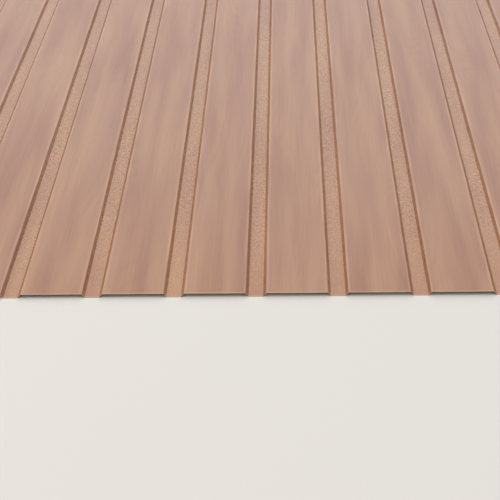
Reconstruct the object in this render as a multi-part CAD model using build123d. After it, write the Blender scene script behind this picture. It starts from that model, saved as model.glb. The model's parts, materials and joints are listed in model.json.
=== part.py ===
from build123d import *
import os

# A shallow ribbed sheet of coated steel, roll-formed from one strip and cut to length.
# It lies face up on a level floor. X runs across the sheet, Y along the grooves and Z up.
# The origin is on the floor, midway between the side edges and midway between the ends.

# Driving dimensions, in millimetres and degrees
sheet_length = 2000.0
steel_thickness = 0.5
groove_count = 11
groove_pitch = 115.0
groove_depth = 5.5
groove_floor = 20.5
wall_angle = 50.0
inner_bend_radius = 1.5
side_lip = 10.1

# Sizes that follow from them
outer_bend_radius = inner_bend_radius + steel_thickness
outer_groove_x = (groove_count - 1) * groove_pitch / 2


def groove_corners(centre_x):
    """Gives the four sharp corners of one groove's underside, from left to right."""
    wall = Vector(groove_depth, 0).rotate(Axis.Z, wall_angle)
    wall_run = groove_depth * wall.X / wall.Y
    floor_edge = groove_floor / 2
    mouth_edge = floor_edge + wall_run
    return [
        (centre_x - mouth_edge, groove_depth),
        (centre_x - floor_edge, 0),
        (centre_x + floor_edge, 0),
        (centre_x + mouth_edge, groove_depth),
    ]


def underside_line():
    """Gives the sheet's underside in section, with a rounded bend at every corner.

    The strip bends round its inner radius. The underside is the outer side of the bends
    at a groove's floor, and the inner side of the bends at its mouth.
    """
    corners = []
    for index in range(groove_count):
        corners += groove_corners(index * groove_pitch - outer_groove_x)
    left_edge = (corners[0][0] - side_lip, groove_depth)
    right_edge = (corners[-1][0] + side_lip, groove_depth)
    radii = [inner_bend_radius, outer_bend_radius, outer_bend_radius, inner_bend_radius]
    return FilletPolyline(left_edge, *corners, right_edge, radius=radii * groove_count)


def corrugated_sheet():
    """Makes the sheet: its section, one steel thickness everywhere, run along its length."""
    section = make_face(offset(underside_line(), amount=steel_thickness, side=Side.LEFT))
    upright_section = Plane.XZ * section
    return extrude(upright_section, amount=sheet_length / 2, both=True)


sheet = corrugated_sheet()
os.makedirs("parts", exist_ok=True)
export_step(sheet, "parts/corrugated_sheet.step")
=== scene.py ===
import json
import math

import bmesh
import bpy
from mathutils import Matrix, Vector


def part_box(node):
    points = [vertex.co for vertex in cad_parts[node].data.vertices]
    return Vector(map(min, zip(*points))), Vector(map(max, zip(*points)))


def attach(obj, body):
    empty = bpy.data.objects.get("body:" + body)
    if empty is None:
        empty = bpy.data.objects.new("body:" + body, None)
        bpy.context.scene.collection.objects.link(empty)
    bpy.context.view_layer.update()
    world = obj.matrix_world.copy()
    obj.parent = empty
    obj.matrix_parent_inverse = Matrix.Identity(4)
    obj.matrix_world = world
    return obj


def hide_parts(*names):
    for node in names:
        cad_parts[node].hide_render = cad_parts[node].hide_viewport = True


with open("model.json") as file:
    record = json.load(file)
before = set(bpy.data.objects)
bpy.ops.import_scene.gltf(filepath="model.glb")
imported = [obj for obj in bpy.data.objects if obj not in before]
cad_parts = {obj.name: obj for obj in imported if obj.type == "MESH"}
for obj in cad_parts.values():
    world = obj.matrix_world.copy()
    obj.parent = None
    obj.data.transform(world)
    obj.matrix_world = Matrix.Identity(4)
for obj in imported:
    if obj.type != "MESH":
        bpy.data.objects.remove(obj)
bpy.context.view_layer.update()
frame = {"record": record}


# The ribbed sheet
# One strip of galvanised steel, coated in the coil and then roll-formed cold into wide flat crests
# with narrow grooves between them. It is sheared to length, and lies loose on its groove floors.
sheet_low, sheet_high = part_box("corrugated_sheet")
mount_places = {mount["name"]: Vector(mount["pos_m"]) for mount in frame["record"]["mounts"]}
steel_thickness = mount_places["screw_land"].z - mount_places["rail_seat"].z
groove_depth = mount_places["crest_top"].z - mount_places["screw_land"].z
outer_groove_x = mount_places["lap_under"].x
sheet_length = sheet_high.y - sheet_low.y

# The frame doesn't give these sizes of the section. They are the solid's own driving dimensions.
groove_pitch = 0.115
groove_floor = 0.0205
wall_angle = math.radians(50)
inner_bend_radius = 0.0015
groove_count = round(2 * outer_groove_x / groove_pitch) + 1

# The mesh starts as the upper skin, whose sharp corners lie a little inside the underside's.
wall_run = groove_depth / math.tan(wall_angle)
corner_shift = steel_thickness * math.tan(wall_angle / 2)
floor_half = groove_floor / 2 - corner_shift
mouth_half = floor_half + wall_run
lip_width = -outer_groove_x - mouth_half - sheet_low.x


def pick_edges(wanted):
    """Selects, in edit mode, only the edges that wanted() says yes to."""
    bpy.ops.mesh.select_mode(type="EDGE")
    bpy.ops.mesh.select_all(action="DESELECT")
    mesh = bpy.context.object.data
    shape = bmesh.from_edit_mesh(mesh)
    for edge in shape.edges:
        edge.select_set(wanted(edge))
    shape.select_flush_mode()
    bmesh.update_edit_mesh(mesh)


def edge_run(edge):
    """Gives how far an edge goes along X, Y and Z."""
    return [abs(a - b) for a, b in zip(edge.verts[0].co, edge.verts[1].co)]


def is_lengthwise(edge):
    """Says whether an edge runs along the grooves."""
    across, along, up = edge_run(edge)
    return along > across + up


# The left lip comes first, and its inner edge is drawn out over each groove and crest in turn.
bpy.ops.object.select_all(action="DESELECT")
lip_middle = (sheet_low.x + lip_width / 2, 0, sheet_high.z)
bpy.ops.mesh.primitive_plane_add(size=1, location=lip_middle)
sheet = bpy.context.object
sheet.name = "ribbed_sheet"
bpy.ops.object.transform_apply(location=True)
bpy.ops.object.mode_set(mode="EDIT")
bpy.ops.mesh.select_all(action="SELECT")
bpy.ops.transform.resize(value=(lip_width, sheet_length, 1), center_override=lip_middle)
pick_edges(lambda edge: is_lengthwise(edge) and edge.verts[0].co.x > lip_middle[0])
for groove in range(groove_count):
    last = groove == groove_count - 1
    crest_width = lip_width if last else groove_pitch - 2 * mouth_half
    steps = [
        (wall_run, -groove_depth),
        (2 * floor_half, 0),
        (wall_run, groove_depth),
        (crest_width, 0),
    ]
    for step_across, step_up in steps:
        bpy.ops.mesh.extrude_region_move(TRANSFORM_OT_translate={"value": (step_across, 0, step_up)})

# The bends are round: the skin is on the outside of the crest bends and the inside of the floor's.
middle_height = sheet_high.z - groove_depth / 2
bend_segments = 4
for is_crest, bend_radius in ((True, inner_bend_radius + steel_thickness), (False, inner_bend_radius)):
    pick_edges(lambda edge: (
        is_lengthwise(edge)
        and len(edge.link_faces) == 2
        and (edge.verts[0].co.z > middle_height) == is_crest
    ))
    tangent_length = bend_radius * math.tan(wall_angle / 2)
    bpy.ops.mesh.bevel(
        offset_type="OFFSET", offset=tangent_length, segments=bend_segments, profile=0.5,
        affect="EDGES", clamp_overlap=False,
    )

# The flats are divided across, first the crests and then the groove floors, and the whole sheet is
# divided along, so that it can be less than perfectly flat.
for narrowest_flat, columns in ((0.05, 8), (0.015, 2)):
    pick_edges(lambda edge: edge_run(edge)[0] > narrowest_flat)
    bpy.ops.mesh.subdivide(number_cuts=columns - 1)
row_length = 0.02
pick_edges(is_lengthwise)
bpy.ops.mesh.subdivide(number_cuts=round(sheet_length / row_length) - 1)
bpy.ops.object.mode_set(mode="OBJECT")

# Roll-forming leaves each crest slightly dished and wavy, and the free edge of each lip dips a little.
dish_depth = 0.00035
wave_size = 0.16
crest_half = groove_pitch / 2 - mouth_half
slack = sheet.vertex_groups.new(name="slack")
for vertex in sheet.data.vertices:
    from_crest_middle = abs((vertex.co.x / groove_pitch) % 1 - 0.5) * groove_pitch
    past_outer_mouth = abs(vertex.co.x) - outer_groove_x - mouth_half
    if past_outer_mouth > 0:
        slack.add([vertex.index], past_outer_mouth / lip_width, "REPLACE")
    elif vertex.co.z > middle_height and from_crest_middle < crest_half:
        slack.add([vertex.index], math.cos(math.pi / 2 * from_crest_middle / crest_half), "REPLACE")
waves = bpy.data.textures.new("crest_waves", type="CLOUDS")
waves.noise_scale = wave_size
dish = sheet.modifiers.new("dish", "DISPLACE")
dish.texture = waves
dish.texture_coords = "LOCAL"
dish.direction = "Z"
dish.mid_level = 1
dish.strength = dish_depth
dish.vertex_group = "slack"
bpy.ops.object.modifier_apply(modifier="dish")
sheet.vertex_groups.clear()

# The steel's thickness lies under the skin. The underside and the cut edges take finishes of their own.
thickness = sheet.modifiers.new("thickness", "SOLIDIFY")
thickness.thickness = steel_thickness
thickness.offset = -1
thickness.use_even_offset = True
thickness.material_offset = 1
thickness.material_offset_rim = 2


def srgb(hex_colour):
    """Turns an sRGB hex colour into the linear colour that a shader reads."""
    levels = [int(hex_colour[i:i + 2], 16) / 255 for i in (1, 3, 5)]
    return [*(v / 12.92 if v <= 0.04045 else ((v + 0.055) / 1.055) ** 2.4 for v in levels), 1]


def add_node(material, kind, settings=None, links=None):
    """Adds a node, sets its properties and its sockets' values, and joins what feeds it."""
    node = material.node_tree.nodes.new(kind)
    for name, value in (settings or {}).items():
        if isinstance(name, str) and hasattr(node, name):
            setattr(node, name, value)
        else:
            node.inputs[name].default_value = value
    for name, source in (links or {}).items():
        material.node_tree.links.new(source, node.inputs[name])
    return node


# The coating: polyester baked onto the strip, satin, with a soft wood tone along the sheet.
# Its gloss lays a pale veil of the light ahead over the brown, and more of it at a low angle.
coating = bpy.data.materials.new("baked_polyester_coating")
coating.use_nodes = True
coating.node_tree.nodes.clear()
place = add_node(coating, "ShaderNodeTexCoord").outputs["Object"]
spot = add_node(coating, "ShaderNodeSeparateXYZ", {}, {"Vector": place})
from_groove = add_node(
    coating, "ShaderNodeMath", {"operation": "PINGPONG", 1: groove_pitch / 2}, {0: spot.outputs["X"]}
).outputs[0]

# Soft streaks, 34 mm wide and 0.4 m long, are lighter and yellower or darker and more mauve.
streak_width, streak_length = 0.034, 0.4
streak_scale = (1 / streak_width, 1 / streak_length, 1)
light_map = add_node(coating, "ShaderNodeMapping", {"Scale": streak_scale}, {"Vector": place})
light_streaks = add_node(
    coating, "ShaderNodeTexNoise", {"Scale": 1, "Detail": 1.5, "Roughness": 0.5, "Distortion": 0.25},
    {"Vector": light_map.outputs[0]},
)
light_tone = add_node(
    coating, "ShaderNodeMapRange",
    {"clamp": False, "From Min": 0.3, "From Max": 0.7, "To Min": 0.935, "To Max": 1.065},
    {"Value": light_streaks.outputs["Fac"]},
)
another_place = (5.3, 2.1, 0)
hue_map = add_node(
    coating, "ShaderNodeMapping", {"Location": another_place, "Scale": streak_scale}, {"Vector": place}
)
hue_streaks = add_node(
    coating, "ShaderNodeTexNoise", {"Scale": 1, "Detail": 1, "Distortion": 0.2},
    {"Vector": hue_map.outputs[0]},
)
own_hue_share = 0.35
hue_mix = add_node(
    coating, "ShaderNodeMix", {"data_type": "FLOAT", 0: own_hue_share},
    {2: light_streaks.outputs["Fac"], 3: hue_streaks.outputs["Fac"]},
)
yellowness = add_node(
    coating, "ShaderNodeMapRange", {"From Min": 0.35, "From Max": 0.65}, {"Value": hue_mix.outputs[0]}
)
brown = add_node(
    coating, "ShaderNodeMix", {"data_type": "RGBA", 6: srgb("#9D633F"), 7: srgb("#A56B37")},
    {0: yellowness.outputs[0]},
)

# A fine grain follows them, in lines 3 mm wide, and here and there it draws the arcs of a sawn board.
grain_width, grain_length = 0.003, 0.1
grain_map = add_node(
    coating, "ShaderNodeMapping", {"Scale": (1 / grain_width, 1 / grain_length, 1)}, {"Vector": place}
)
grain = add_node(
    coating, "ShaderNodeTexNoise", {"Scale": 1, "Detail": 2, "Distortion": 0.3},
    {"Vector": grain_map.outputs[0]},
)
grain_tone = add_node(
    coating, "ShaderNodeMapRange",
    {"clamp": False, "From Min": 0.3, "From Max": 0.7, "To Min": 0.93, "To Max": 1.07},
    {"Value": grain.outputs["Fac"]},
)
arc_width, arc_length, arc_count, arc_darkness = 0.06, 0.45, 16, 0.07
arc_map = add_node(
    coating, "ShaderNodeMapping", {"Scale": (1 / arc_width, 1 / arc_length, 1)}, {"Vector": place}
)
arc_field = add_node(
    coating, "ShaderNodeTexNoise", {"Scale": 1, "Detail": 0, "Distortion": 0.2},
    {"Vector": arc_map.outputs[0]},
)
arc_steps = add_node(
    coating, "ShaderNodeMath", {"operation": "MULTIPLY", 1: arc_count}, {0: arc_field.outputs["Fac"]}
)
arcs = add_node(coating, "ShaderNodeMath", {"operation": "PINGPONG", 1: 0.5}, {0: arc_steps.outputs[0]})
arc_patches = add_node(
    coating, "ShaderNodeMapRange", {"From Min": 0.45, "From Max": 0.6, "To Max": arc_darkness},
    {"Value": hue_streaks.outputs["Fac"]},
)
arc_dark = add_node(
    coating, "ShaderNodeMapRange", {"interpolation_type": "SMOOTHSTEP", "From Min": 0.35, "From Max": 0},
    {"Value": arcs.outputs[0], "To Max": arc_patches.outputs[0]},
)
grain_with_arcs = add_node(
    coating, "ShaderNodeMath", {"operation": "SUBTRACT"},
    {0: grain_tone.outputs[0], 1: arc_dark.outputs[0]},
)
wood_tone = add_node(
    coating, "ShaderNodeMath", {"operation": "MULTIPLY"},
    {0: light_tone.outputs[0], 1: grain_with_arcs.outputs[0]},
)
wood_brown = add_node(
    coating, "ShaderNodeVectorMath", {"operation": "SCALE"},
    {0: brown.outputs[2], "Scale": wood_tone.outputs[0]},
)

# The steep walls keep little dust. Between their bends they are painted a darker brown, painted shade
# for the shade in the grooves, whose strength varies in patches 15 mm wide.
crest_bend_reach, floor_bend_reach, wall_fade = 0.0009, 0.0006, 0.0006
wall_top = mouth_half - crest_bend_reach
wall_foot = floor_half + floor_bend_reach
on_crest = add_node(
    coating, "ShaderNodeMapRange", {"From Min": wall_top - wall_fade, "From Max": wall_top + wall_fade},
    {"Value": from_groove},
)
on_floor = add_node(
    coating, "ShaderNodeMapRange", {"From Min": wall_foot + wall_fade, "From Max": wall_foot - wall_fade},
    {"Value": from_groove},
)
on_flat = add_node(
    coating, "ShaderNodeMath", {"operation": "ADD"}, {0: on_crest.outputs[0], 1: on_floor.outputs[0]}
)
wall_shade_patch_size = 0.015
wall_shade_patches = add_node(
    coating, "ShaderNodeTexNoise", {"Scale": 1 / wall_shade_patch_size, "Detail": 2}, {"Vector": place}
)
wall_shade_depth = add_node(
    coating, "ShaderNodeMapRange", {"From Min": 0.35, "From Max": 0.65, "To Min": 0.05, "To Max": 0.55},
    {"Value": wall_shade_patches.outputs["Fac"]},
)
wall_shade_strength = add_node(
    coating, "ShaderNodeMapRange", {"To Max": 0},
    {"Value": on_flat.outputs[0], "To Min": wall_shade_depth.outputs[0]},
)
# Painted shade: between their bends the walls are mixed toward a dark brown.
walls_painted_shade = add_node(
    coating, "ShaderNodeMix", {"data_type": "RGBA", 7: srgb("#734224")},
    {0: wall_shade_strength.outputs[0], 6: wood_brown.outputs[0]},
)

# Handling rubs a border 5 mm wide on each crest lighter, along the grain, and this border is also a
# painted highlight on the crest bends. A painted highlight pales the last 4 mm before each cut end.
# Rub wear and painted highlight along the crest bends.
rub_and_highlight_border, rub_and_highlight_share = 0.005, 0.28
rub_and_highlight_zone = add_node(
    coating, "ShaderNodeMapRange",
    {"interpolation_type": "SMOOTHSTEP", "From Min": mouth_half + rub_and_highlight_border, "From Max": mouth_half,
     "To Max": rub_and_highlight_share},
    {"Value": from_groove},
)
rub_and_highlight_on_crest = add_node(
    coating, "ShaderNodeMath", {"operation": "MULTIPLY"}, {0: rub_and_highlight_zone.outputs[0], 1: on_crest.outputs[0]}
)
rub_and_highlight_lines = add_node(
    coating, "ShaderNodeMapRange", {"From Min": 0.35, "From Max": 0.65, "To Min": 0.4, "To Max": 1.6},
    {"Value": grain.outputs["Fac"]},
)
rub_and_highlight_strength = add_node(
    coating, "ShaderNodeMath", {"operation": "MULTIPLY"},
    {0: rub_and_highlight_on_crest.outputs[0], 1: rub_and_highlight_lines.outputs[0]},
)
from_middle = add_node(coating, "ShaderNodeMath", {"operation": "ABSOLUTE"}, {0: spot.outputs["Y"]})
# Painted highlight: the last 4 mm before each cut end are mixed toward a paler colour.
end_highlight_reach, end_highlight_share = 0.004, 0.5
end_highlight_strength = add_node(
    coating, "ShaderNodeMapRange",
    {"From Min": sheet_length / 2 - end_highlight_reach, "From Max": sheet_length / 2, "To Max": end_highlight_share},
    {"Value": from_middle.outputs[0]},
)
rubs_and_highlights = add_node(
    coating, "ShaderNodeMath", {"operation": "MAXIMUM"},
    {0: rub_and_highlight_strength.outputs[0], 1: end_highlight_strength.outputs[0]},
)
# Rub wear and painted highlights mix the coating toward a pale brown.
rubbed_and_highlit = add_node(
    coating, "ShaderNodeMix", {"data_type": "RGBA", 7: srgb("#D8A888")},
    {0: rubs_and_highlights.outputs[0], 6: walls_painted_shade.outputs[2]},
)

# A thin film of dust lies in patches a hand wide, thicker along the light streaks and thinner on the
# walls.
dust_width, dust_length = 0.083, 0.2
dust_map = add_node(
    coating, "ShaderNodeMapping", {"Scale": (1 / dust_width, 1 / dust_length, 1)}, {"Vector": place}
)
dust = add_node(coating, "ShaderNodeTexNoise", {"Scale": 1, "Detail": 4}, {"Vector": dust_map.outputs[0]})
dust_patches = add_node(
    coating, "ShaderNodeMapRange", {"From Min": 0.25, "From Max": 0.75, "To Min": -0.04, "To Max": 0.04},
    {"Value": dust.outputs["Fac"]},
)
dust_streaks = add_node(
    coating, "ShaderNodeMapRange", {"From Min": 0.3, "From Max": 0.7, "To Min": 0.045, "To Max": 0.175},
    {"Value": light_streaks.outputs["Fac"]},
)
dust_film = add_node(
    coating, "ShaderNodeMath", {"operation": "ADD", "use_clamp": True},
    {0: dust_patches.outputs[0], 1: dust_streaks.outputs[0]},
)
wall_dust_share = 0.5
dust_room = add_node(
    coating, "ShaderNodeMapRange", {"To Min": wall_dust_share}, {"Value": on_flat.outputs[0]}
)
dust_strength = add_node(
    coating, "ShaderNodeMath", {"operation": "MULTIPLY"}, {0: dust_film.outputs[0], 1: dust_room.outputs[0]}
)
dusty = add_node(
    coating, "ShaderNodeMix", {"data_type": "RGBA", 7: srgb("#C4B5A6")},
    {0: dust_strength.outputs[0], 6: rubbed_and_highlit.outputs[2]},
)

# Pale silt dusts the groove floors toward the near end, over its last 0.3 m.
silt_start, silt_full, silt_share = 0.3, 0.1, 0.09
near_end = add_node(
    coating, "ShaderNodeMapRange",
    {"interpolation_type": "SMOOTHSTEP", "From Min": sheet_low.y + silt_start,
     "From Max": sheet_low.y + silt_full, "To Max": silt_share},
    {"Value": spot.outputs["Y"]},
)
silt_strength = add_node(
    coating, "ShaderNodeMath", {"operation": "MULTIPLY"}, {0: near_end.outputs[0], 1: on_floor.outputs[0]}
)
silted = add_node(
    coating, "ShaderNodeMix", {"data_type": "RGBA", 7: srgb("#E4AE7C")},
    {0: silt_strength.outputs[0], 6: dusty.outputs[2]},
)

# Grit and dirt speckle the groove floors, thickest in a broad band across the near half, and thin out
# up the walls. Real grains are under a millimetre, and these are drawn 2 mm wide so that they show.
grit_band_y, grit_band_reach, grit_band_fade, least_grit = -0.35, 0.65, 0.25, 0.38
from_grit_band = add_node(
    coating, "ShaderNodeMath", {"operation": "SUBTRACT", 1: grit_band_y}, {0: spot.outputs["Y"]}
)
grit_band_distance = add_node(
    coating, "ShaderNodeMath", {"operation": "ABSOLUTE"}, {0: from_grit_band.outputs[0]}
)
grit_patches = add_node(
    coating, "ShaderNodeMapRange", {"From Min": 0.35, "From Max": 0.65, "To Min": 0.6, "To Max": 1.3},
    {"Value": dust.outputs["Fac"]},
)
in_grit_band = add_node(
    coating, "ShaderNodeMapRange",
    {"interpolation_type": "SMOOTHSTEP", "From Min": grit_band_reach,
     "From Max": grit_band_reach - grit_band_fade, "To Min": least_grit},
    {"Value": grit_band_distance.outputs[0], "To Max": grit_patches.outputs[0]},
)
grit_size = 0.002
grit_field = add_node(
    coating, "ShaderNodeTexNoise", {"Scale": 1 / grit_size, "Detail": 1, "Roughness": 0.6}, {"Vector": place}
)
grit_room = add_node(
    coating, "ShaderNodeMapRange",
    {"interpolation_type": "SMOOTHSTEP", "From Min": mouth_half + grit_size, "From Max": floor_half},
    {"Value": from_groove, "To Max": in_grit_band.outputs[0]},
)
pale_grain_share, dark_grain_share = 0.36, 0.75
pale_grains = add_node(
    coating, "ShaderNodeMapRange", {"From Min": 0.45, "From Max": 0.7, "To Max": pale_grain_share},
    {"Value": grit_field.outputs["Fac"]},
)
dark_grains = add_node(
    coating, "ShaderNodeMapRange", {"From Min": 0.47, "From Max": 0.3, "To Max": dark_grain_share},
    {"Value": grit_field.outputs["Fac"]},
)
pale_strewn = add_node(
    coating, "ShaderNodeMath", {"operation": "MULTIPLY"},
    {0: pale_grains.outputs[0], 1: grit_room.outputs[0]},
)
dark_strewn = add_node(
    coating, "ShaderNodeMath", {"operation": "MULTIPLY"},
    {0: dark_grains.outputs[0], 1: grit_room.outputs[0]},
)
speckled = add_node(
    coating, "ShaderNodeMix", {"data_type": "RGBA", 7: srgb("#6E4020")},
    {0: dark_strewn.outputs[0], 6: silted.outputs[2]},
)
gritty = add_node(
    coating, "ShaderNodeMix", {"data_type": "RGBA", 7: srgb("#F0B880")},
    {0: pale_strewn.outputs[0], 6: speckled.outputs[2]},
)

# The coating is satin, a little duller where dust lies, with a faint orange peel from its baking.
satin = add_node(
    coating, "ShaderNodeMapRange", {"From Min": 0.25, "From Max": 0.75, "To Min": 0.3, "To Max": 0.38},
    {"Value": dust.outputs["Fac"]},
)
peel_size, peel_depth = 0.0014, 0.0001
peel = add_node(coating, "ShaderNodeTexNoise", {"Scale": 1 / peel_size, "Detail": 1}, {"Vector": place})
peel_bump = add_node(
    coating, "ShaderNodeBump", {"Strength": 0.15, "Distance": peel_depth}, {"Height": peel.outputs["Fac"]}
)
coating_shader = add_node(
    coating, "ShaderNodeBsdfPrincipled", {"IOR": 1.5},
    {"Base Color": gritty.outputs[2], "Roughness": satin.outputs[0], "Normal": peel_bump.outputs[0]},
)
add_node(coating, "ShaderNodeOutputMaterial", {}, {"Surface": coating_shader.outputs[0]})

# The back coat: a thin grey-beige epoxy primer, matt and faintly mottled. The forming rolls leave pale
# lengthwise scuffs in it.
back_coat = bpy.data.materials.new("epoxy_back_coat")
back_coat.use_nodes = True
back_coat.node_tree.nodes.clear()
back_place = add_node(back_coat, "ShaderNodeTexCoord").outputs["Object"]
mottle_size = 0.03
mottle = add_node(
    back_coat, "ShaderNodeTexNoise", {"Scale": 1 / mottle_size, "Detail": 4}, {"Vector": back_place}
)
mottled = add_node(
    back_coat, "ShaderNodeMix", {"data_type": "RGBA", 6: srgb("#A09A8E"), 7: srgb("#B0AA9F")},
    {0: mottle.outputs["Fac"]},
)
scuff_width, scuff_length, scuff_share = 0.0025, 0.2, 0.4
scuff_map = add_node(
    back_coat, "ShaderNodeMapping", {"Scale": (1 / scuff_width, 1 / scuff_length, 1)}, {"Vector": back_place}
)
scuff_lines = add_node(
    back_coat, "ShaderNodeTexNoise", {"Scale": 1, "Detail": 2}, {"Vector": scuff_map.outputs[0]}
)
scuffs = add_node(
    back_coat, "ShaderNodeMapRange", {"From Min": 0.55, "From Max": 0.75, "To Max": scuff_share},
    {"Value": scuff_lines.outputs["Fac"]},
)
scuffed = add_node(
    back_coat, "ShaderNodeMix", {"data_type": "RGBA", 7: srgb("#C6C1B8")},
    {0: scuffs.outputs[0], 6: mottled.outputs[2]},
)
back_gloss = add_node(
    back_coat, "ShaderNodeMapRange", {"From Max": scuff_share, "To Min": 0.58, "To Max": 0.4},
    {"Value": scuffs.outputs[0]},
)
back_shader = add_node(
    back_coat, "ShaderNodeBsdfPrincipled", {"IOR": 1.5},
    {"Base Color": scuffed.outputs[2], "Roughness": back_gloss.outputs[0]},
)
add_node(back_coat, "ShaderNodeOutputMaterial", {}, {"Surface": back_shader.outputs[0]})

# The cut edges: bare steel with smeared zinc, torn by the shear into fine upright lines. They are
# under 0.1 mm apart, and are drawn 1 mm apart so that they show.
cut_steel = bpy.data.materials.new("sheared_galvanised_steel")
cut_steel.use_nodes = True
cut_steel.node_tree.nodes.clear()
cut_place = add_node(cut_steel, "ShaderNodeTexCoord").outputs["Object"]
tear_width, tear_height = 0.001, 0.017
tear_scale = (1 / tear_width, 1 / tear_width, 1 / tear_height)
tear_map = add_node(cut_steel, "ShaderNodeMapping", {"Scale": tear_scale}, {"Vector": cut_place})
tears = add_node(cut_steel, "ShaderNodeTexNoise", {"Scale": 1, "Detail": 3}, {"Vector": tear_map.outputs[0]})
torn = add_node(
    cut_steel, "ShaderNodeMix", {"data_type": "RGBA", 6: srgb("#77716C"), 7: srgb("#B5B1AC")},
    {0: tears.outputs["Fac"]},
)
smear_size = 0.014
zinc_smears = add_node(
    cut_steel, "ShaderNodeTexNoise", {"Scale": 1 / smear_size, "Detail": 2}, {"Vector": cut_place}
)
dulled = add_node(
    cut_steel, "ShaderNodeMix", {"data_type": "RGBA", 7: srgb("#8A7A6C")},
    {0: zinc_smears.outputs["Fac"], 6: torn.outputs[2]},
)
cut_gloss = add_node(
    cut_steel, "ShaderNodeMapRange", {"To Min": 0.32, "To Max": 0.6}, {"Value": tears.outputs["Fac"]}
)
cut_shader = add_node(
    cut_steel, "ShaderNodeBsdfPrincipled", {"Metallic": 1},
    {"Base Color": dulled.outputs[2], "Roughness": cut_gloss.outputs[0]},
)
add_node(cut_steel, "ShaderNodeOutputMaterial", {}, {"Surface": cut_shader.outputs[0]})

for finish in (coating, back_coat, cut_steel):
    sheet.data.materials.append(finish)
bpy.ops.object.modifier_apply(modifier="thickness")

# The shear rolls the coated edge over by a tenth of a millimetre. Bends are shaded round, and flats
# flat.
roll_over = 0.0001
crease_angle = math.radians(30)
bpy.ops.object.mode_set(mode="EDIT")
pick_edges(lambda edge: {face.material_index for face in edge.link_faces} == {0, 2})
bpy.ops.mesh.bevel(
    offset_type="OFFSET", offset=roll_over, segments=2, profile=0.5, affect="EDGES",
    clamp_overlap=False, material=0,
)
bpy.ops.object.mode_set(mode="OBJECT")
bpy.ops.object.shade_smooth_by_angle(angle=crease_angle)
flats_first = sheet.modifiers.new("flats_first", "WEIGHTED_NORMAL")
flats_first.keep_sharp = True
bpy.ops.object.modifier_apply(modifier="flats_first")
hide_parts("corrugated_sheet")
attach(sheet, "root")


# The floor: a level pale matt floor that the sheet lies on, and that runs past the camera's view. It
# isn't part of the sheet.
floor_width = 40
bpy.ops.object.select_all(action="DESELECT")
bpy.ops.mesh.primitive_plane_add(size=floor_width, location=(0, 0, 0))
floor = bpy.context.object
floor.name = "floor"
pale_floor = bpy.data.materials.new("pale_floor")
pale_floor.use_nodes = True
floor_shader = pale_floor.node_tree.nodes["Principled BSDF"]
floor_shader.inputs["Base Color"].default_value = srgb("#E4E1DC")
floor_shader.inputs["Roughness"].default_value = 0.9
floor.data.materials.append(pale_floor)


# The light: a soft dome that is dim at the horizon and bright overhead. A wide softbox ahead of the
# sheet shows in its gloss, and a warmer one high on the left lights the groove walls that face it.
world = bpy.data.worlds.new("studio")
bpy.context.scene.world = world
world.use_nodes = True
world.node_tree.nodes.clear()
horizon_strength, sky_strength, zenith_strength = 0.2, 0.7, 0.85
horizon_top, sky_bottom = 0.2, 0.36
toward = add_node(world, "ShaderNodeTexCoord").outputs["Generated"]
rise = add_node(world, "ShaderNodeSeparateXYZ", {}, {"Vector": toward})
low_strength = add_node(
    world, "ShaderNodeMapRange",
    {"interpolation_type": "SMOOTHSTEP", "From Min": horizon_top, "From Max": sky_bottom,
     "To Min": horizon_strength, "To Max": sky_strength},
    {"Value": rise.outputs["Z"]},
)
high_strength = add_node(
    world, "ShaderNodeMapRange",
    {"From Min": sky_bottom, "From Max": 1, "To Max": zenith_strength - sky_strength},
    {"Value": rise.outputs["Z"]},
)
dome_strength = add_node(
    world, "ShaderNodeMath", {"operation": "ADD"},
    {0: low_strength.outputs[0], 1: high_strength.outputs[0]},
)
dome = add_node(
    world, "ShaderNodeBackground", {"Color": srgb("#FFFFFF")}, {"Strength": dome_strength.outputs[0]}
)
add_node(world, "ShaderNodeOutputWorld", {}, {"Surface": dome.outputs[0]})


def add_softbox(name, width, height, radiance, colour, place, target):
    """Adds a rectangular lamp that faces the target and looks equally bright wherever it is seen from."""
    lamp = bpy.data.lights.new(name, type="AREA")
    lamp.shape = "RECTANGLE"
    lamp.size = width
    lamp.size_y = height
    lamp.energy = radiance * math.pi * width * height
    lamp.color = srgb(colour)[:3]
    softbox = bpy.data.objects.new(name, lamp)
    bpy.context.scene.collection.objects.link(softbox)
    softbox.location = place
    softbox.rotation_euler = (Vector(target) - Vector(place)).to_track_quat("-Z", "Y").to_euler()
    softbox.visible_camera = False


add_softbox(
    "ahead", width=7.0, height=3.5, radiance=1.25, colour="#EAF2FF",
    place=(0, 4.4, 2.55), target=(0, -0.5, 0),
)
add_softbox(
    "high_left", width=3.2, height=3.2, radiance=1.8, colour="#FFF9E8",
    place=(-2.2, -1.6, 4.0), target=(0, -1.0, 0),
)


# The camera: in front of one cut end and about a metre up, looking down along the grooves, where the
# groove lines fall as they do in the photograph.
camera_side = 0.0475
camera_before_end = 1.513
camera_above_crests = 0.997
down_tilt = math.radians(31.47)
left_turn = math.radians(2.04)
right_roll = math.radians(1.54)
camera_data = bpy.data.cameras.new("camera")
camera_data.sensor_width = 36
camera_data.lens = 93.6
camera = bpy.data.objects.new("camera", camera_data)
bpy.context.scene.collection.objects.link(camera)
camera.matrix_world = (
    Matrix.Translation((camera_side, sheet_low.y - camera_before_end, sheet_high.z + camera_above_crests))
    @ Matrix.Rotation(left_turn, 4, "Z")
    @ Matrix.Rotation(math.pi / 2 - down_tilt, 4, "X")
    @ Matrix.Rotation(-right_roll, 4, "Z")
)
bpy.context.scene.camera = camera
bpy.context.scene.view_settings.view_transform = "Standard"
